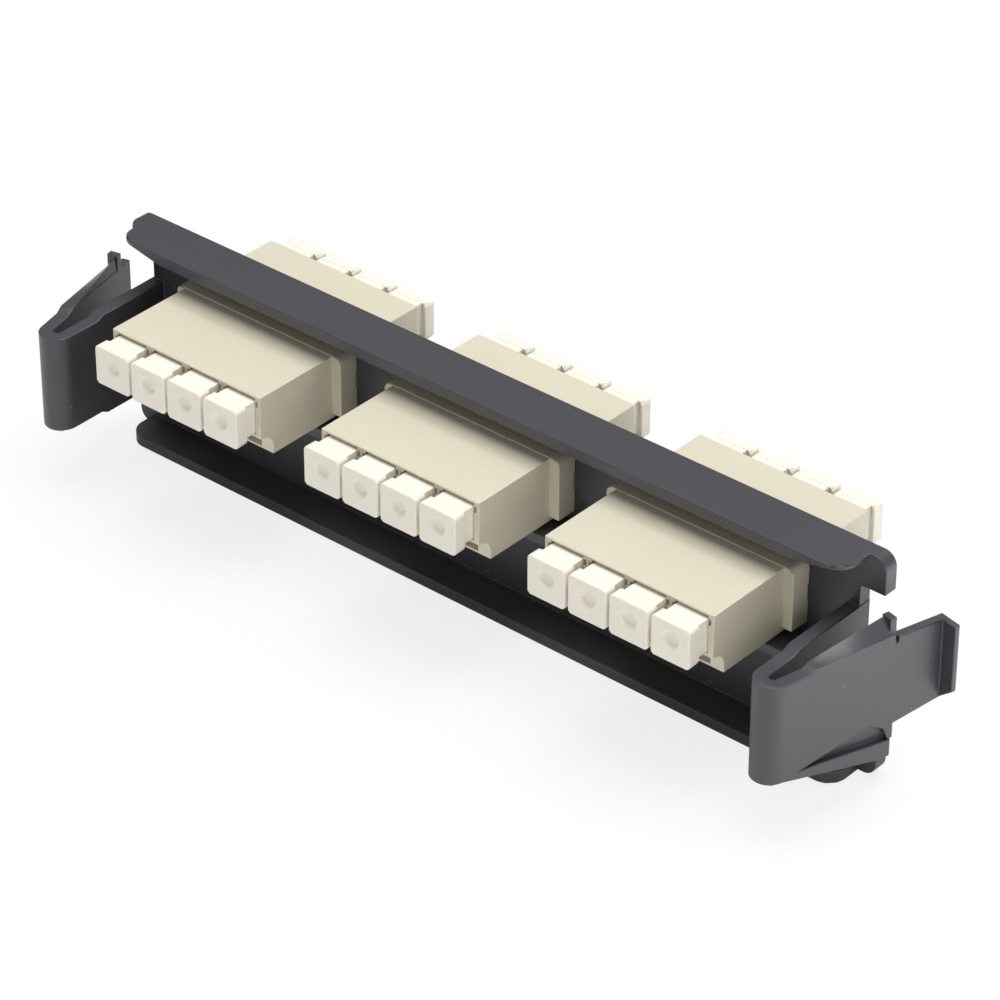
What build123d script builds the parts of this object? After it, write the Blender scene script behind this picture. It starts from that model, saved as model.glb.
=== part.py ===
"""Fibre adapter plate: a moulded strip with two spring latches that holds three quad
LC adapters, each with its split sleeves, two retaining clips and eight dust caps.

Millimetres. X runs along the plate, Y to the rear, Z up. The web's front face is Y = 0,
the middle adapter is centred on X = 0 and the plate stands on Z = 0.
"""
import os
from math import cos, radians, sin

from build123d import *

os.makedirs("parts", exist_ok=True)

PLACES = ["left", "middle", "right"]
SIDES = {"left": -1, "right": 1}

# plate: a web at the rear edge with three ledges in front of it
plate_height = 31.1
web_thickness = 2.1
flange_depth = 5.1
flange_thickness = 1.6
flange_half_length = 58.4
flange_corner_radius = 2.7
shelf_top = 16.2
shelf_thickness = 1.5
shelf_half_length = 55.0
web_half_length = 57.3
ear_half_length = 60.9
ear_height = 4.95
ear_corner_radius = 1.8
ear_root_radius = 0.6
gate_mark_z = 2.15
gate_mark_diameter = 0.7
gate_mark_sides = 8
gate_mark_height = 0.12
# outline of what is cut from the top ledge's ends, from below, as X and Z
flange_thinning = [(51.0, 29.45), (51.0, 29.5), (56.0, 30.5), (60.0, 30.5), (60.0, 29.45)]

# adapters
adapter_pitch = 35.8
body_bottom = 17.15
body_side_wall = 0.875
body_height = 9.1
half_length = 14.63
wing_overhang = 1.45
wing_bottom = 17.75
wing_height = 8.6
wing_thickness = 3.06
wing_corner_radius = 1.0
window_gap = 0.1
notch_depth = 2.15
notch_height = 3.04
notch_radius = 1.9
notch_overrun = 2.0
port_count = 4
port_pitch = 6.25
port_width = 5.0
port_height = 5.28
port_bottom = 20.67
port_depth = 12.9
groove_span = 5.8
groove_bottom = 24.6
groove_height = 0.9
groove_depth = 3.0
lever_width = 2.6
lever_bottom = 17.45
lever_depth = 9.0
lever_lip = 1.8
lever_pocket_width = 4.2
barrel_centre_z = 23.15
barrel_diameter = 3.0
barrel_length = 4.6
barrel_bore = 1.66
barrel_mouth = 1.36
barrel_lip = 0.6

# the small round parts that repeat are made with this many sides
barrel_sides = 10

# ceramic split sleeves
sleeve_diameter = 1.62
sleeve_bore = 1.25
sleeve_slit = 0.2
sleeve_end_play = 0.03

# steel retaining clips
clip_thickness = 0.25
clip_height = 5.2
clip_length = 7.0
clip_turn = 0.35
clip_flare = 0.7
clip_grip = 0.35
clip_foot = 1.7
clip_foot_height = 2.4
clip_centre_z = 22.0

# dust caps
cap_head_width = 5.8
cap_head_height = 5.6
cap_head_depth = 1.8
cap_head_corner = 0.35
cap_head_shift = -0.25
cap_head_z = 22.78
cap_gap = 1.72
cap_fit = 0.06
cap_plug_height = 4.8
cap_bore = 3.2
cap_bore_end = 0.6
cap_dimple_diameter = 2.5
cap_dimple_taper = 55
cap_dimple_depth = 0.55
cap_dimple_z = 23.1
cap_dimple_sides = 12

# latches: the bend, the arms and the catches
latch_wall = 1.85
latch_lean = 13.2
bend_x = 57.9
bend_y = -17.0
bend_inner_radius = 0.55
bend_bottom = 8.9
bend_top = 22.6
arm_bottom = 8.4
arm_top = 23.1
arm_ramp_start = 3.6
arm_ramp_run = 1.0
inner_ramp_start = -12.1
stub_reach = 18.7
stub_relief = 0.7
stub_step = 1.9
catch_reach = 16.55
catch_flat = 0.9
catch_inset = 0.35
catch_root = 1.1
upper_catch_top = 25.25
upper_catch_ridge = 0.25
lower_catch_bottom = 5.85
lower_catch_reach = 16.2
lower_catch_flat = 2.0
lower_catch_wall = 1.6
pocket_depth = 0.9
# outline of the pocket above the lower catch, as distance along the arm and Z
pocket_outline = [(2.6, 9.5), (13.0, 11.45), (15.1, 10.1), (16.0, 8.1)]

# finger tab of the right-hand latch, in line with the arm's outer face
tab_reach = 24.3
tab_wall = 1.2
tab_root_top = 22.65
tab_end_top = 22.3
tab_root_bottom = 10.35
tab_end_bottom = 11.25
lip_wall = 0.85
lip_reach = 2.2
lip_top = 22.35
lip_bottom = 13.1
lip_radius = 0.4
slot_depth = 0.8
slot_width = 0.5
slot_height = 1.3

# values that follow from the sizes above
split_y = -wing_thickness / 2
adapter_xs = [-adapter_pitch, 0, adapter_pitch]
port_xs = [(i - (port_count - 1) / 2) * port_pitch for i in range(port_count)]
body_width = (port_count - 1) * port_pitch + port_width + 2 * body_side_wall
wing_span = body_width + 2 * wing_overhang
window_width = body_width + 2 * window_gap
window_height = body_height + 2 * window_gap
sleeve_seat = half_length - port_depth + barrel_length - barrel_lip
sleeve_length = 2 * (sleeve_seat - sleeve_end_play)
cap_plug_width = port_width - 2 * cap_fit
cap_plug_z = port_bottom + cap_fit + cap_plug_height / 2
clip_seat_x = (body_width - clip_thickness) / 2
foot_seat_x = (wing_span - clip_foot) / 2
bend_outer_radius = bend_inner_radius + latch_wall
lean_sin = sin(radians(latch_lean))
lean_cos = cos(radians(latch_lean))
ramp_end = arm_ramp_start + arm_ramp_run
# side view of the inner latch arm, as Y and Z
inner_arm_outline = [
    (bend_y, bend_bottom),
    (inner_ramp_start, bend_bottom),
    (inner_ramp_start + arm_ramp_run, arm_bottom),
    (web_thickness, arm_bottom),
    (web_thickness, arm_top),
    (inner_ramp_start + arm_ramp_run, arm_top),
    (inner_ramp_start, bend_top),
    (bend_y, bend_top),
]


def ported_half(face, side_face, clipped):
    """Half an adapter: grows from the face it shares with the other half, local y is up."""
    outer = face.offset(half_length)
    port_floor = face.offset(half_length - port_depth)
    notch_face = face.offset(half_length - notch_depth)
    lever_height = port_bottom - lever_bottom
    with BuildPart() as half:
        with BuildSketch(face):
            with Locations((0, body_bottom + body_height / 2)):
                Rectangle(body_width, body_height)
        extrude(amount=half_length)
        with BuildSketch(face):
            with Locations((0, wing_bottom + wing_height / 2)):
                Rectangle(wing_span, wing_height)
            fillet(vertices().group_by(Axis.Y)[-1], wing_corner_radius)
        extrude(amount=wing_thickness / 2)
        # the lower front corner is stepped back, with a round root
        with BuildSketch(side_face):
            with Locations((half_length, body_bottom)):
                notch = Rectangle(2 * notch_depth, 2 * notch_height)
            fillet(notch.vertices(), notch_radius)
        extrude(amount=body_width / 2 + notch_overrun, both=True, mode=Mode.SUBTRACT)
        # ports, with a groove at each upper corner
        with BuildSketch(outer):
            with Locations(*[(x, port_bottom + port_height / 2) for x in port_xs]):
                Rectangle(port_width, port_height)
        extrude(amount=-port_depth, mode=Mode.SUBTRACT)
        with BuildSketch(outer):
            with Locations(*[(x, groove_bottom + groove_height / 2) for x in port_xs]):
                Rectangle(groove_span, groove_height)
        extrude(amount=-groove_depth, mode=Mode.SUBTRACT)
        # channels below the ports for the plugs' levers, wider inside to catch them
        with BuildSketch(outer):
            with Locations(*[(x, lever_bottom + lever_height / 2) for x in port_xs]):
                Rectangle(lever_width, lever_height)
        extrude(amount=-lever_depth, mode=Mode.SUBTRACT)
        with BuildSketch(notch_face.offset(-lever_lip)):
            with Locations(*[(x, lever_bottom + lever_height / 2) for x in port_xs]):
                Rectangle(lever_pocket_width, lever_height)
        extrude(amount=notch_depth + lever_lip - lever_depth, mode=Mode.SUBTRACT)
        # barrels that hold the split sleeves
        with BuildSketch(port_floor):
            with Locations(*[(x, barrel_centre_z) for x in port_xs]):
                RegularPolygon(barrel_diameter / 2, barrel_sides)
        extrude(amount=barrel_length)
        with BuildSketch(face):
            with Locations(*[(x, barrel_centre_z) for x in port_xs]):
                RegularPolygon(barrel_bore / 2, barrel_sides)
        extrude(amount=sleeve_seat, mode=Mode.SUBTRACT)
        with BuildSketch(face.offset(sleeve_seat)):
            with Locations(*[(x, barrel_centre_z) for x in port_xs]):
                RegularPolygon(barrel_mouth / 2, barrel_sides)
        extrude(amount=2 * barrel_lip, mode=Mode.SUBTRACT)
        if clipped:
            # shallow pockets in the sides and in the flange's back for the steel clips
            with BuildSketch(face.offset(wing_thickness / 2 - clip_thickness)):
                with Locations((-clip_seat_x, clip_centre_z), (clip_seat_x, clip_centre_z)):
                    Rectangle(clip_thickness, clip_height)
            extrude(amount=clip_length + 2 * clip_thickness, mode=Mode.SUBTRACT)
            with BuildSketch(face.offset(wing_thickness / 2 - clip_thickness)):
                with Locations((-foot_seat_x, clip_centre_z), (foot_seat_x, clip_centre_z)):
                    Rectangle(clip_foot, clip_foot_height)
            extrude(amount=clip_thickness, mode=Mode.SUBTRACT)
    return half.part


def outer_arm(with_tab):
    """The right-hand latch arm, from the middle of its bend to the catches and the tab."""
    panel = Plane(
        origin=(bend_x + bend_inner_radius * lean_cos, bend_y - bend_inner_radius * lean_sin, 0),
        x_dir=(lean_sin, lean_cos, 0),
        z_dir=(lean_cos, -lean_sin, 0),
    )
    # across the arm, facing its root: local x is the distance out from the panel's inner face
    section = Plane(origin=panel.origin, x_dir=panel.z_dir, z_dir=-panel.x_dir)
    with BuildPart() as arm:
        with BuildSketch(Plane.XY.offset(bend_bottom)):
            with BuildLine():
                outer_bow = CenterArc((bend_x, bend_y), bend_outer_radius, -90, 90 - latch_lean)
                inner_bow = CenterArc((bend_x, bend_y), bend_inner_radius, -90, 90 - latch_lean)
                Line(outer_bow @ 0, inner_bow @ 0)
                Line(outer_bow @ 1, inner_bow @ 1)
            make_face()
        extrude(amount=bend_top - bend_bottom)
        # the panel, with small ramps up to its full height behind the bend
        with BuildSketch(panel):
            with BuildLine():
                Polyline(
                    (0, bend_bottom),
                    (arm_ramp_start, bend_bottom),
                    (ramp_end, arm_bottom),
                    (catch_reach, arm_bottom),
                    (catch_reach, arm_top),
                    (ramp_end, arm_top),
                    (arm_ramp_start, bend_top),
                    (0, bend_top),
                    close=True,
                )
            make_face()
        extrude(amount=latch_wall)
        # the upper catch: a ridge that twists up from the panel's top edge to a tooth
        with BuildSketch(section.offset(-ramp_end)):
            with BuildLine():
                Polyline(
                    (0, arm_top - catch_root),
                    (latch_wall, arm_top - catch_root),
                    (latch_wall, arm_top),
                    (0, arm_top),
                    close=True,
                )
            make_face()
        with BuildSketch(section.offset(-catch_reach)):
            with BuildLine():
                Polyline(
                    (0, arm_top - catch_root),
                    (latch_wall, arm_top - catch_root),
                    (latch_wall, arm_top),
                    (upper_catch_ridge, upper_catch_top),
                    close=True,
                )
            make_face()
        loft(ruled=True)
        with BuildSketch(panel):
            with Locations((catch_reach - catch_flat / 2, (arm_top + upper_catch_top) / 2)):
                Rectangle(catch_flat, upper_catch_top - arm_top)
        extrude(amount=latch_wall - catch_inset)
        # the lower catch: a wedge below the panel, with a long triangular pocket above it
        with BuildSketch(panel.offset(latch_wall)):
            with BuildLine():
                Polyline(
                    (0, bend_bottom),
                    (0, bend_bottom + catch_root),
                    (lower_catch_reach, arm_bottom + catch_root),
                    (lower_catch_reach, lower_catch_bottom),
                    (lower_catch_reach - lower_catch_flat, lower_catch_bottom),
                    close=True,
                )
            make_face()
        extrude(amount=-lower_catch_wall)
        with BuildSketch(panel.offset(latch_wall)):
            with BuildLine():
                Polyline(*pocket_outline, close=True)
            make_face()
        extrude(amount=-pocket_depth, mode=Mode.SUBTRACT)
        if with_tab:
            with BuildSketch(panel.offset(latch_wall)):
                with BuildLine():
                    Polyline(
                        (catch_reach, tab_root_bottom),
                        (tab_reach, tab_end_bottom),
                        (tab_reach, tab_end_top),
                        (catch_reach, tab_root_top),
                        close=True,
                    )
                make_face()
            extrude(amount=-tab_wall)
            # the lip across the tab's end, lower on its outer side, seen along the arm
            with BuildSketch(section.offset(-tab_reach)):
                with BuildLine():
                    Polyline(
                        (latch_wall, tab_end_bottom),
                        (latch_wall, tab_end_top),
                        (latch_wall + lip_reach, lip_top),
                        (latch_wall + lip_reach, lip_bottom),
                        close=True,
                    )
                make_face()
            extrude(amount=lip_wall)
            fillet(arm.edges().filter_by(Axis.Z).sort_by(Axis.X)[-1], lip_radius)
            # a small slot between the upper catch and the tab
            with BuildSketch(panel.offset(latch_wall)):
                with Locations((catch_reach, arm_top - slot_height / 2)):
                    Rectangle(slot_width, slot_height)
            extrude(amount=-slot_depth, mode=Mode.SUBTRACT)
        else:
            with BuildSketch(panel):
                with BuildLine():
                    Polyline(
                        (catch_reach, arm_bottom + stub_step),
                        (stub_reach, arm_bottom + stub_step),
                        (stub_reach, arm_top),
                        (catch_reach, arm_top),
                        close=True,
                    )
                make_face()
            extrude(amount=latch_wall - stub_relief)
    return arm.part


def right_and_left(points):
    """The same outline on both sides of the plate."""
    return [points, [(-x, z) for x, z in points]]


# the plate
with BuildPart() as adapter_plate:
    with BuildSketch(Plane.XZ):
        with Locations((0, plate_height / 2)):
            Rectangle(2 * web_half_length, plate_height)
        for low in (0, plate_height - ear_height):
            with Locations((0, low + ear_height / 2)):
                Rectangle(2 * ear_half_length, ear_height)
        far = [v for v in vertices() if abs(v.X) > ear_half_length - 0.01]
        fillet([v for v in far if v.Y < 0.01 or v.Y > plate_height - 0.01], ear_corner_radius)
        near = [v for v in vertices() if abs(abs(v.X) - web_half_length) < 0.01]
        fillet(near, ear_root_radius)
        for x in adapter_xs:
            with Locations((x, body_bottom + body_height / 2)):
                Rectangle(window_width, window_height, mode=Mode.SUBTRACT)
    extrude(amount=-web_thickness)
    # top and bottom ledges with rounded front corners
    for low in (0, plate_height - flange_thickness):
        with BuildSketch(Plane.XY.offset(low)):
            with Locations((0, -flange_depth / 2)):
                Rectangle(2 * flange_half_length, flange_depth)
            fillet(vertices().group_by(Axis.Y)[0], flange_corner_radius)
        extrude(amount=flange_thickness)
    # the top ledge thins towards its ends
    for outline in right_and_left(flange_thinning):
        with BuildSketch(Plane.XZ):
            with BuildLine():
                Polyline(*outline, close=True)
            make_face()
        extrude(amount=flange_depth + 1, mode=Mode.SUBTRACT)
    # the shelf under the adapters
    with BuildSketch(Plane.XY.offset(shelf_top - shelf_thickness)):
        with Locations((0, -flange_depth / 2)):
            Rectangle(2 * shelf_half_length, flange_depth)
    extrude(amount=shelf_thickness)
    # gate marks on the lower web
    with BuildSketch(Plane.XZ):
        with Locations(*[(x, gate_mark_z) for x in adapter_xs]):
            RegularPolygon(gate_mark_diameter / 2, gate_mark_sides)
    extrude(amount=gate_mark_height)
    # inner latch arms with the inner half of each bend
    for side in (-1, 1):
        with BuildSketch(Plane.XY.offset(bend_bottom)):
            with BuildLine():
                start = 180 if side > 0 else -90
                outer_bow = CenterArc((side * bend_x, bend_y), bend_outer_radius, start, 90)
                inner_bow = CenterArc((side * bend_x, bend_y), bend_inner_radius, start, 90)
                Line(outer_bow @ 0, inner_bow @ 0)
                Line(outer_bow @ 1, inner_bow @ 1)
            make_face()
        extrude(amount=bend_top - bend_bottom)
        with BuildSketch(Plane.YZ.offset(side * (bend_x - bend_outer_radius))):
            with BuildLine():
                Polyline(*inner_arm_outline, close=True)
            make_face()
        extrude(amount=side * latch_wall)
adapter_plate.part.label = "adapter_plate"
export_step(adapter_plate.part, "parts/adapter_plate.step")

# the two outer latch arms
with BuildPart() as latch_right:
    add(outer_arm(with_tab=True))
latch_right.part.label = "latch_right"
export_step(latch_right.part, "parts/latch_right.step")

with BuildPart() as latch_left:
    add(mirror(outer_arm(with_tab=False), about=Plane.YZ, mode=Mode.PRIVATE))
latch_left.part.label = "latch_left"
export_step(latch_left.part, "parts/latch_left.step")

# adapters, clips, sleeves and caps
for place, centre_x in zip(PLACES, adapter_xs):
    front = Plane(origin=(centre_x, split_y, 0), x_dir=(1, 0, 0), z_dir=(0, -1, 0))
    rear = Plane(origin=(centre_x, split_y, 0), x_dir=(-1, 0, 0), z_dir=(0, 1, 0))
    front_side = Plane(origin=(centre_x, split_y, 0), x_dir=(0, -1, 0), z_dir=(-1, 0, 0))
    rear_side = Plane(origin=(centre_x, split_y, 0), x_dir=(0, 1, 0), z_dir=(1, 0, 0))
    with BuildPart() as adapter_front:
        add(ported_half(front, front_side, clipped=False))
    adapter_front.part.label = f"adapter_front_{place}"
    export_step(adapter_front.part, f"parts/adapter_front_{place}.step")

    with BuildPart() as adapter_rear:
        add(ported_half(rear, rear_side, clipped=True))
    adapter_rear.part.label = f"adapter_rear_{place}"
    export_step(adapter_rear.part, f"parts/adapter_rear_{place}.step")

    for side_name, side in SIDES.items():
        wall_x = centre_x + side * clip_seat_x
        foot_x = centre_x + side * (wing_span / 2)
        with BuildPart() as clip:
            with BuildSketch(Plane.XY.offset(clip_centre_z - clip_height / 2)):
                with BuildLine():
                    Polyline(
                        (wall_x, -clip_thickness),
                        (wall_x, clip_length - clip_turn),
                        (wall_x + side * clip_turn, clip_length),
                        (wall_x + side * (clip_turn + clip_flare), web_thickness + clip_grip),
                    )
                trace(line_width=clip_thickness)
            extrude(amount=clip_height)
            with BuildSketch(Plane.XY.offset(clip_centre_z - clip_foot_height / 2)):
                with Locations(((wall_x + foot_x) / 2, -clip_thickness / 2)):
                    Rectangle(abs(foot_x - wall_x), clip_thickness)
            extrude(amount=clip_foot_height)
        clip.part.label = f"clip_{place}_{side_name}"
        export_step(clip.part, f"parts/clip_{place}_{side_name}.step")

    for number, port_x in enumerate(port_xs, start=1):
        with BuildPart() as sleeve:
            with BuildSketch(front.offset(-sleeve_length / 2)):
                with Locations((port_x, barrel_centre_z)):
                    RegularPolygon(sleeve_diameter / 2, barrel_sides)
                    RegularPolygon(sleeve_bore / 2, barrel_sides, mode=Mode.SUBTRACT)
                with Locations((port_x, barrel_centre_z + sleeve_diameter / 2)):
                    Rectangle(sleeve_slit, sleeve_diameter, mode=Mode.SUBTRACT)
            extrude(amount=sleeve_length)
        sleeve.part.label = f"sleeve_{place}_{number}"
        export_step(sleeve.part, f"parts/sleeve_{place}_{number}.step")

        for end, face in (("front", front), ("rear", rear)):
            local_x = port_x if end == "front" else -port_x
            cap_root = face.offset(half_length - port_depth)
            cap_back = face.offset(half_length + cap_gap)
            cap_face = cap_back.offset(cap_head_depth)
            with BuildPart() as cap:
                with BuildSketch(cap_root):
                    with Locations((local_x, cap_plug_z)):
                        Rectangle(cap_plug_width, cap_plug_height)
                extrude(amount=port_depth + cap_gap)
                with BuildSketch(cap_back):
                    with Locations((local_x + cap_head_shift, cap_head_z)):
                        head = Rectangle(cap_head_width, cap_head_height)
                    chamfer(head.vertices(), cap_head_corner)
                extrude(amount=cap_head_depth)
                with BuildSketch(cap_root):
                    with Locations((local_x, barrel_centre_z)):
                        Rectangle(cap_bore, cap_bore)
                extrude(amount=port_depth + cap_gap - cap_bore_end, mode=Mode.SUBTRACT)
                with BuildSketch(cap_face):
                    with Locations((local_x + cap_head_shift, cap_dimple_z)):
                        RegularPolygon(cap_dimple_diameter / 2, cap_dimple_sides)
                extrude(amount=-cap_dimple_depth, taper=cap_dimple_taper, mode=Mode.SUBTRACT)
            cap.part.label = f"cap_{end}_{place}_{number}"
            export_step(cap.part, f"parts/cap_{end}_{place}_{number}.step")
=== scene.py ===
"""Fibre adapter plate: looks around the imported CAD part. Metres, in the part's own frame:
X along the plate, Y to the rear, Z up, the plate standing on Z = 0."""
import math

import bmesh
import bpy
from mathutils import Matrix, Vector


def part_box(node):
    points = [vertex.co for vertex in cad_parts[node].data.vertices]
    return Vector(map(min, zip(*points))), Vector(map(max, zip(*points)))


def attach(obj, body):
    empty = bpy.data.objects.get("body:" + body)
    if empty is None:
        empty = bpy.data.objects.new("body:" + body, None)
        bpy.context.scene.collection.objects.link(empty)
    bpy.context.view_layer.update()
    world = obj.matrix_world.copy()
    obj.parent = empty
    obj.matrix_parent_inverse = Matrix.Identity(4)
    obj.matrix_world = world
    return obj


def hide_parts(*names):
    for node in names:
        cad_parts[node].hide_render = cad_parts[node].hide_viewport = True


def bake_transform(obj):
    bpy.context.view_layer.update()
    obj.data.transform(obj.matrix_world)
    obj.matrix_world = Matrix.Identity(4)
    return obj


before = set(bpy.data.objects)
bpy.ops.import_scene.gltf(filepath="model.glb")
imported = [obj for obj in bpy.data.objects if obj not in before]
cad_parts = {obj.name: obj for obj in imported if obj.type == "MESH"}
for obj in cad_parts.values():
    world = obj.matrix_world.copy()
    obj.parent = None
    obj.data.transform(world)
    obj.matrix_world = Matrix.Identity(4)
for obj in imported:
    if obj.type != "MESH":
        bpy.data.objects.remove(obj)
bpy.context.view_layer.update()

# Camera
# A long lens from the front right and above, where the photograph was taken from.
# Its place and length come from fitting the corners of the adapters and the plate.
camera_turn = math.radians(40.767)
camera_rise = math.radians(33.499)
camera_roll = math.radians(0.051)
camera_distance = 0.562579
camera_offset_across = -0.001614
camera_offset_up = 0.008308
fit_origin_height = 0.02315
lens_mm = 164.48
sensor_mm = 36

across = Vector((math.cos(camera_turn), math.sin(camera_turn), 0))
back = Vector((
    math.sin(camera_turn) * math.cos(camera_rise),
    -math.cos(camera_turn) * math.cos(camera_rise),
    math.sin(camera_rise),
))
upward = back.cross(across)
rolled_across = math.cos(camera_roll) * across + math.sin(camera_roll) * upward
rolled_upward = math.cos(camera_roll) * upward - math.sin(camera_roll) * across
camera_place = camera_distance * back - camera_offset_across * rolled_across
camera_place -= camera_offset_up * rolled_upward
camera_place.z += fit_origin_height

camera_data = bpy.data.cameras.new("camera")
camera_data.lens = lens_mm
camera_data.sensor_width = sensor_mm
camera_data.clip_start = 0.01
camera = bpy.data.objects.new("camera", camera_data)
bpy.context.scene.collection.objects.link(camera)
turn = Matrix((rolled_across, rolled_upward, back)).transposed()
camera.matrix_world = Matrix.Translation(camera_place) @ turn.to_4x4()
bpy.context.scene.camera = camera
bpy.context.scene.view_settings.view_transform = "Standard"


# Floor and studio light
# A plain white table under a large soft lamp, as in product photographs, with weak ones at
# the right and near the camera. A small lamp lights the table beside the right-hand latch,
# which reflects it. The camera sees white surroundings, and a nearly white, shaded table.
def linear(hex_colour):
    """An sRGB hex colour as linear red, green, blue and alpha."""
    parts = [int(hex_colour[i:i + 2], 16) / 255 for i in (1, 3, 5)]
    return [p / 12.92 if p <= 0.04045 else ((p + 0.055) / 1.055) ** 2.4 for p in parts] + [1.0]


def add_node(tree, kind, values=None, links=None, **settings):
    """Adds a shader node, sets it and its inputs, and links other nodes' outputs into it.
    An input goes by its name, or by its number where two have the same name."""
    made = tree.nodes.new(kind)
    for name, value in settings.items():
        setattr(made, name, value)
    for socket, value in (values or {}).items():
        made.inputs[socket].default_value = value
    for socket, (source, output) in (links or {}).items():
        tree.links.new(source.outputs[output], made.inputs[socket])
    return made


def new_material(name):
    """An empty node material and its tree."""
    made = bpy.data.materials.new(name)
    made.use_nodes = True
    made.node_tree.nodes.clear()
    return made, made.node_tree


floor_white = "#F4F4F4"
floor_whitening = 0.8
table, tree = new_material("white_table")
light_path = add_node(tree, "ShaderNodeLightPath")
painted = add_node(tree, "ShaderNodeBsdfDiffuse", {"Color": linear(floor_white)})
blank = add_node(tree, "ShaderNodeEmission", {"Color": (1, 1, 1, 1), "Strength": 1.0})
seen = add_node(
    tree, "ShaderNodeMath", {1: floor_whitening}, {0: (light_path, "Is Camera Ray")},
    operation="MULTIPLY")
mixed = add_node(
    tree, "ShaderNodeMixShader", None,
    {0: (seen, "Value"), 1: (painted, "BSDF"), 2: (blank, "Emission")})
add_node(tree, "ShaderNodeOutputMaterial", None, {"Surface": (mixed, "Shader")})

floor_size = 6.0
floor_drop = 0.0002
shape = bmesh.new()
bmesh.ops.create_grid(shape, x_segments=1, y_segments=1, size=floor_size / 2)
bmesh.ops.translate(shape, verts=shape.verts, vec=(0, 0, -floor_drop))
floor_mesh = bpy.data.meshes.new("table_top")
shape.to_mesh(floor_mesh)
shape.free()
floor_mesh.materials.append(table)
table_top = bpy.data.objects.new("table_top", floor_mesh)
bpy.context.scene.collection.objects.link(table_top)

walls_strength = 0.34
world = bpy.data.worlds.new("studio")
bpy.context.scene.world = world
world.use_nodes = True
tree = world.node_tree
tree.nodes.clear()
light_path = add_node(tree, "ShaderNodeLightPath")
walls = add_node(
    tree, "ShaderNodeBackground", {"Color": (1, 1, 1, 1), "Strength": walls_strength})
white = add_node(tree, "ShaderNodeBackground", {"Color": (1, 1, 1, 1), "Strength": 1.0})
mixed = add_node(
    tree, "ShaderNodeMixShader", None,
    {0: (light_path, "Is Camera Ray"), 1: (walls, "Background"), 2: (white, "Background")})
add_node(tree, "ShaderNodeOutputWorld", None, {"Surface": (mixed, "Shader")})


def hang_lamp(name, place, target, size, watts, spread_degrees=180):
    """A square soft lamp at a place, turned towards a target."""
    data = bpy.data.lights.new(name, "AREA")
    data.shape = "SQUARE"
    data.size = size
    data.energy = watts
    data.spread = math.radians(spread_degrees)
    lamp = bpy.data.objects.new(name, data)
    bpy.context.scene.collection.objects.link(lamp)
    aim = (Vector(target) - Vector(place)).to_track_quat("-Z", "Y")
    lamp.matrix_world = Matrix.Translation(place) @ aim.to_matrix().to_4x4()


hang_lamp("overhead", place=(0.0, 0.05, 0.75), target=(0, 0, 0), size=0.6, watts=5.4)
hang_lamp("right", place=(0.70, -0.10, 0.30), target=(0, 0, 0), size=0.4, watts=0.8)
hang_lamp("near_camera", place=(0.40, -0.60, 0.40), target=(0, 0, 0), size=0.4, watts=0.3)
hang_lamp(
    "on_the_table", place=(0.165, 0.03, 0.12), target=(0.165, 0.03, 0), size=0.14, watts=0.1,
    spread_degrees=60)


# Plate moulding
# One black ABS moulding: the web with its ledges and ears, and a spring latch at each
# end. The tool was finely polished, so it is satin, and specks of dust lie on it.
bend_x = 0.0579
bend_y = -0.017
same_point = 0.000001
edge_segments = 3


def moulded_copy(node, edge_mm, corner_degrees, material, body, stays_square):
    """A copy of a CAD piece with its corners joined and its edges rounded as moulded.
    Edges that turn less than corner_degrees are shaded smooth, and an edge whose two
    ends both pass the test stays_square isn't rounded."""
    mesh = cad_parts[node].data.copy()
    shape = bmesh.new()
    shape.from_mesh(mesh)
    bmesh.ops.remove_doubles(shape, verts=shape.verts, dist=2 * same_point)
    flat = math.radians(0.5)
    bmesh.ops.dissolve_limit(shape, angle_limit=flat, verts=shape.verts, edges=shape.edges)
    rounded = shape.edges.layers.float.new("bevel_weight_edge")
    bmesh.ops.connect_verts_concave(shape, faces=shape.faces)
    corner = math.radians(corner_degrees)
    for edge in shape.edges:
        edge.smooth = edge.calc_face_angle(0) < corner
        square = all(stays_square(v.co) for v in edge.verts)
        edge[rounded] = 0.0 if edge.smooth or square else 1.0
    for face in shape.faces:
        face.smooth = True
    shape.to_mesh(mesh)
    shape.free()
    mesh.materials.clear()
    mesh.materials.append(material)
    piece = bpy.data.objects.new(node + "_moulded", mesh)
    bpy.context.scene.collection.objects.link(piece)
    edges = piece.modifiers.new("edges", "BEVEL")
    edges.width = edge_mm / 1000
    edges.segments = edge_segments
    edges.limit_method = "WEIGHT"
    edges.use_clamp_overlap = False
    flats = piece.modifiers.new("flats", "WEIGHTED_NORMAL")
    flats.keep_sharp = True
    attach(piece, body)
    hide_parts(node)
    return piece


# ABS, injection moulded: satin black, with a gloss that drifts a little over 18 mm. The
# fine bump is the tool's grain, drawn at 0.25 mm so that it shows. Dust lies as pale
# specks, on two in five of the cells of a 2.5 mm pattern.
gloss_patch_mm = 18
dust_spacing_mm = 2.5
dust_share = 0.4
speck_rim_mm = 0.1125
speck_core_mm = 0.05
plate_grain_mm = 0.25
plate_grain_depth_mm = 0.02
black_abs, tree = new_material("black_abs_moulded")
place = add_node(tree, "ShaderNodeTexCoord")
cloudy = add_node(
    tree, "ShaderNodeTexNoise", {"Scale": 1000 / gloss_patch_mm, "Detail": 3.0},
    {"Vector": (place, "Object")})
tone = add_node(
    tree, "ShaderNodeMix", {"A": linear("#39393E"), "B": linear("#404045")},
    {"Factor": (cloudy, "Fac")}, data_type="RGBA")
specks = add_node(
    tree, "ShaderNodeTexVoronoi", {"Scale": 1000 / dust_spacing_mm},
    {"Vector": (place, "Object")})
speck_shape = add_node(
    tree, "ShaderNodeMapRange",
    {"From Min": speck_rim_mm / dust_spacing_mm, "From Max": speck_core_mm / dust_spacing_mm},
    {"Value": (specks, "Distance")})
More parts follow.
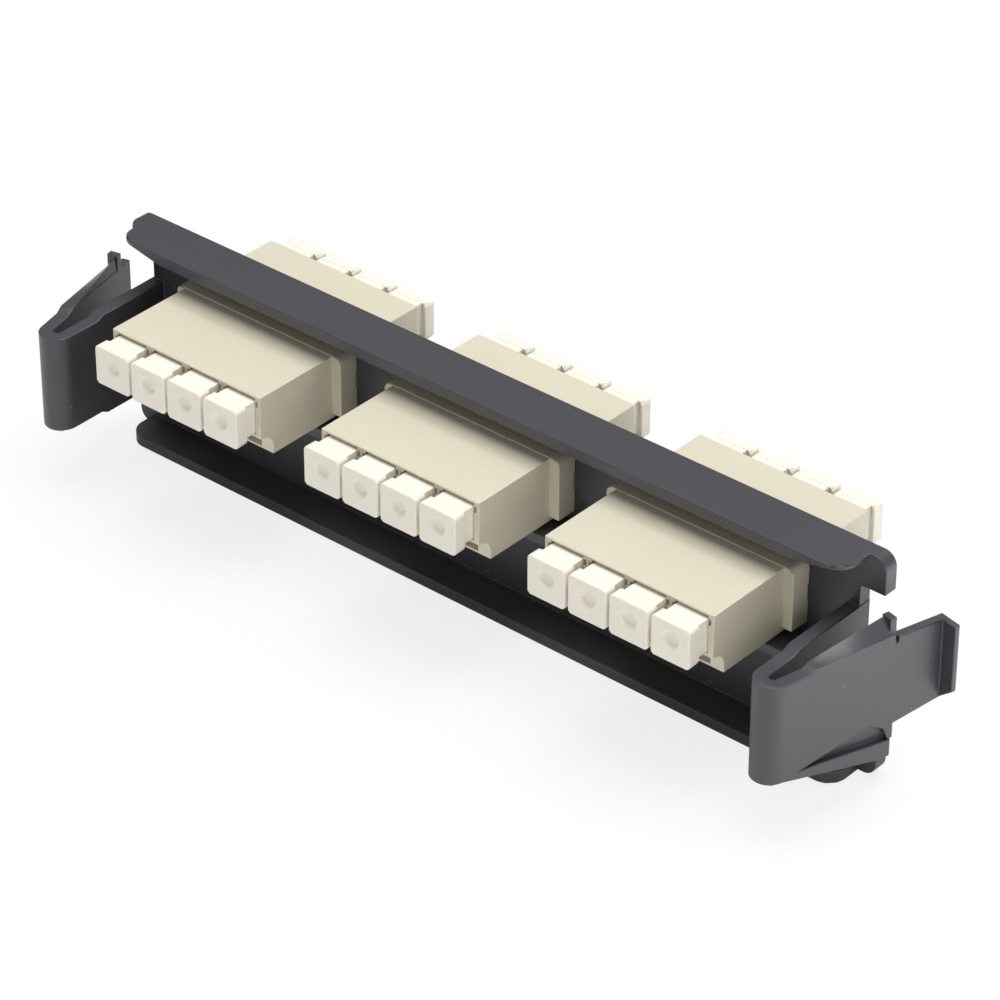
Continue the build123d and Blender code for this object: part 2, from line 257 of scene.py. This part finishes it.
chosen = add_node(tree, "ShaderNodeSeparateColor", None, {"Color": (specks, "Color")})
few = add_node(
    tree, "ShaderNodeMath", {1: 1 - dust_share}, {0: (chosen, "Red")}, operation="GREATER_THAN")
dust = add_node(
    tree, "ShaderNodeMath", None, {0: (speck_shape, "Result"), 1: (few, "Value")},
    operation="MULTIPLY")
dusty = add_node(
    tree, "ShaderNodeMix", {"B": linear("#9A9A98")},
    {"Factor": (dust, "Value"), "A": (tone, "Result")}, data_type="RGBA")
grain = add_node(
    tree, "ShaderNodeTexNoise", {"Scale": 1000 / plate_grain_mm, "Detail": 2.0},
    {"Vector": (place, "Object")})
grain_bump = add_node(
    tree, "ShaderNodeBump", {"Strength": 0.12, "Distance": plate_grain_depth_mm / 1000},
    {"Height": (grain, "Fac")})
satin = add_node(
    tree, "ShaderNodeMapRange", {"To Min": 0.34, "To Max": 0.46}, {"Value": (cloudy, "Fac")})
plastic = add_node(
    tree, "ShaderNodeBsdfPrincipled", {"IOR": 1.6},
    {"Base Color": (dusty, "Result"), "Roughness": (satin, "Result"),
     "Normal": (grain_bump, "Normal")})
add_node(tree, "ShaderNodeOutputMaterial", None, {"Surface": (plastic, "BSDF")})

plate_edge_mm = 0.12
plate_corner_degrees = 38
upper_catch_bottom = 0.023
lower_catch_top = 0.0085


def on_split(point):
    """Whether a point lies where a latch is split from the plate and the moulding runs on."""
    return abs(abs(point.x) - bend_x) < same_point and point.y < bend_y


def on_split_or_catch(point):
    """Whether a point lies on a latch's split, or on its catches, which have crisp edges."""
    return on_split(point) or point.z > upper_catch_bottom or point.z < lower_catch_top


for node, body, square in (
    ("adapter_plate", "plate", on_split),
    ("latch_left", "latch_left", on_split_or_catch),
    ("latch_right", "latch_right", on_split_or_catch),
):
    piece = moulded_copy(node, plate_edge_mm, plate_corner_degrees, black_abs, body, square)

# Bend skins
# The moulding runs on through each bend, where the CAD splits it. A thin skin covers the split.
skin_mm = 0.015
bend_inner_mm = 0.55
bend_wall_mm = 1.85
skin_half_turn = math.radians(50)
skin_steps = 24
bend_bottom_mm = 8.9
bend_top_mm = 22.6
for side, latch in ((1, "latch_right"), (-1, "latch_left")):
    centre = Vector((side * bend_x, bend_y, 0))
    inner = (bend_inner_mm - skin_mm) / 1000
    outer = (bend_inner_mm + bend_wall_mm + skin_mm) / 1000
    low = (bend_bottom_mm - skin_mm) / 1000
    high = (bend_top_mm + skin_mm) / 1000
    shape = bmesh.new()
    start = Vector((-math.sin(skin_half_turn), -math.cos(skin_half_turn), 0))
    profile = ((inner, low), (outer, low), (outer, high), (inner, high))
    corners = [centre + radius * start + Vector((0, 0, z)) for radius, z in profile]
    end_face = shape.faces.new([shape.verts.new(c) for c in corners])
    bmesh.ops.spin(
        shape, geom=[end_face], cent=centre, axis=(0, 0, 1), angle=2 * skin_half_turn,
        steps=skin_steps)
    bmesh.ops.recalc_face_normals(shape, faces=shape.faces)
    for face in shape.faces:
        face.smooth = True
    mesh = bpy.data.meshes.new(latch + "_bend_skin")
    shape.to_mesh(mesh)
    shape.free()
    mesh.materials.append(black_abs)
    skin = bpy.data.objects.new(latch + "_bend_skin", mesh)
    bpy.context.scene.collection.objects.link(skin)
    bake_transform(skin)
    edges = skin.modifiers.new("edges", "BEVEL")
    edges.width = plate_edge_mm / 1000
    edges.segments = edge_segments
    edges.limit_method = "ANGLE"
    edges.angle_limit = math.radians(plate_corner_degrees)
    flats = skin.modifiers.new("flats", "WEIGHTED_NORMAL")
    flats.keep_sharp = True

# Adapters
# Each housing is two beige PBT mouldings welded at the flange. The surface is smooth, with
# a faint mottle about 6 mm across and a fine grain, drawn at 0.3 mm so that it shows.
mottle_mm = 6
housing_grain_mm = 0.3
housing_grain_depth_mm = 0.02
beige_pbt, tree = new_material("beige_pbt_moulded")
place = add_node(tree, "ShaderNodeTexCoord")
mottle = add_node(
    tree, "ShaderNodeTexNoise", {"Scale": 1000 / mottle_mm, "Detail": 4.0},
    {"Vector": (place, "Object")})
tone = add_node(
    tree, "ShaderNodeMix", {"A": linear("#D2CBB5"), "B": linear("#D9D3BF")},
    {"Factor": (mottle, "Fac")}, data_type="RGBA")
grain = add_node(
    tree, "ShaderNodeTexNoise", {"Scale": 1000 / housing_grain_mm, "Detail": 2.0},
    {"Vector": (place, "Object")})
grain_bump = add_node(
    tree, "ShaderNodeBump", {"Strength": 0.08, "Distance": housing_grain_depth_mm / 1000},
    {"Height": (grain, "Fac")})
plastic = add_node(
    tree, "ShaderNodeBsdfPrincipled", {"Roughness": 0.48, "IOR": 1.57},
    {"Base Color": (tone, "Result"), "Normal": (grain_bump, "Normal")})
add_node(tree, "ShaderNodeOutputMaterial", None, {"Surface": (plastic, "BSDF")})

housing_edge_mm = 0.1
housing_corner_degrees = 38
weld_y = -0.00153


def on_weld(point):
    """Whether a point lies on the weld between the two halves, which is flush."""
    return abs(point.y - weld_y) < same_point


for place_name in ("left", "middle", "right"):
    for half in ("front", "rear"):
        node = f"adapter_{half}_{place_name}"
        piece = moulded_copy(
            node, housing_edge_mm, housing_corner_degrees, beige_pbt, "plate", on_weld)

# Retaining clips
# Folded from 0.25 mm spring steel strip, left bright. They keep the CAD shape, because
# a stamped strip has square edges. The rolling lines are drawn about 0.13 mm apart.
rolling_patch_mm = 4
rolling_squeeze = 30
spring_steel, tree = new_material("spring_steel_strip")
place = add_node(tree, "ShaderNodeTexCoord")
rolled = add_node(
    tree, "ShaderNodeMapping", {"Scale": (1, 1, rolling_squeeze)}, {"Vector": (place, "Object")})
lines = add_node(
    tree, "ShaderNodeTexNoise", {"Scale": 1000 / rolling_patch_mm, "Detail": 3.0},
    {"Vector": (rolled, "Vector")})
sheen = add_node(
    tree, "ShaderNodeMapRange", {"To Min": 0.22, "To Max": 0.38}, {"Value": (lines, "Fac")})
metal = add_node(
    tree, "ShaderNodeBsdfPrincipled", {"Base Color": linear("#C9C7C2"), "Metallic": 1.0},
    {"Roughness": (sheen, "Result")})
add_node(tree, "ShaderNodeOutputMaterial", None, {"Surface": (metal, "BSDF")})
for place_name in ("left", "middle", "right"):
    for side in ("left", "right"):
        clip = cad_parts[f"clip_{place_name}_{side}"]
        clip.data.materials.clear()
        clip.data.materials.append(spring_steel)

# Split sleeves
# Tubes of polished zirconia, slit along one side, hidden inside the barrels. White and
# glossy, with a faint cloudiness about 2 mm across.
cloud_mm = 2
sleeve_count = 4
zirconia, tree = new_material("zirconia_polished")
place = add_node(tree, "ShaderNodeTexCoord")
cloudy = add_node(
    tree, "ShaderNodeTexNoise", {"Scale": 1000 / cloud_mm}, {"Vector": (place, "Object")})
tone = add_node(
    tree, "ShaderNodeMix", {"A": linear("#ECEBE6"), "B": linear("#F4F3EF")},
    {"Factor": (cloudy, "Fac")}, data_type="RGBA")
ceramic = add_node(
    tree, "ShaderNodeBsdfPrincipled", {"Roughness": 0.15, "IOR": 2.1},
    {"Base Color": (tone, "Result")})
add_node(tree, "ShaderNodeOutputMaterial", None, {"Surface": (ceramic, "BSDF")})
for place_name in ("left", "middle", "right"):
    for number in range(1, sleeve_count + 1):
        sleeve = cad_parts[f"sleeve_{place_name}_{number}"]
        sleeve.data.materials.clear()
        sleeve.data.materials.append(zirconia)

# Dust caps
# Soft white polyethylene caps, one in each port: a square head with a shallow dimple, on
# a hollow plug. The plastic is slightly waxy and lets a little light through.
waxy_patch_mm = 3
waxy_depth_mm = 0.03
light_depth_mm = 0.8
white_pe, tree = new_material("white_polyethylene")
place = add_node(tree, "ShaderNodeTexCoord")
mottle = add_node(
    tree, "ShaderNodeTexNoise", {"Scale": 1000 / waxy_patch_mm, "Detail": 3.0},
    {"Vector": (place, "Object")})
tone = add_node(
    tree, "ShaderNodeMix", {"A": linear("#EFEADC"), "B": linear("#F5F1E4")},
    {"Factor": (mottle, "Fac")}, data_type="RGBA")
waxy_bump = add_node(
    tree, "ShaderNodeBump", {"Strength": 0.06, "Distance": waxy_depth_mm / 1000},
    {"Height": (mottle, "Fac")})
plastic = add_node(
    tree, "ShaderNodeBsdfPrincipled",
    {"Roughness": 0.42, "IOR": 1.5, "Subsurface Weight": 0.15,
     "Subsurface Scale": light_depth_mm / 1000},
    {"Base Color": (tone, "Result"), "Normal": (waxy_bump, "Normal")})
add_node(tree, "ShaderNodeOutputMaterial", None, {"Surface": (plastic, "BSDF")})

caps_in_row = 4
cap_edge_mm = 0.22
cap_corner_degrees = 20
cap_head_mm = 1.8
dimple_depth_mm = 0.55
dimple_floor_widening = 2.0
depth_error_mm = 0.005
cap_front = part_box("cap_rear_left_1")[1][1] - weld_y


def depth_in_cap(point):
    """How far a point lies behind the front face of its cap, in millimetres."""
    return 1000 * (cap_front - abs(point.y - weld_y))


def behind_head(point):
    """Whether a point lies on the back of a cap's head, where the plug starts flush."""
    return abs(depth_in_cap(point) - cap_head_mm) < depth_error_mm


# The dimple's floor is widened, because the real dimple has steep walls.
for place_name in ("left", "middle", "right"):
    for end in ("front", "rear"):
        for number in range(1, caps_in_row + 1):
            node = f"cap_{end}_{place_name}_{number}"
            cap = moulded_copy(
                node, cap_edge_mm, cap_corner_degrees, white_pe, node, behind_head)
            dimple_floor = [
                v for v in cap.data.vertices
                if abs(depth_in_cap(v.co) - dimple_depth_mm) < depth_error_mm]
            centre = sum((v.co for v in dimple_floor), Vector()) / len(dimple_floor)
            for v in dimple_floor:
                v.co = centre + (v.co - centre) * dimple_floor_widening
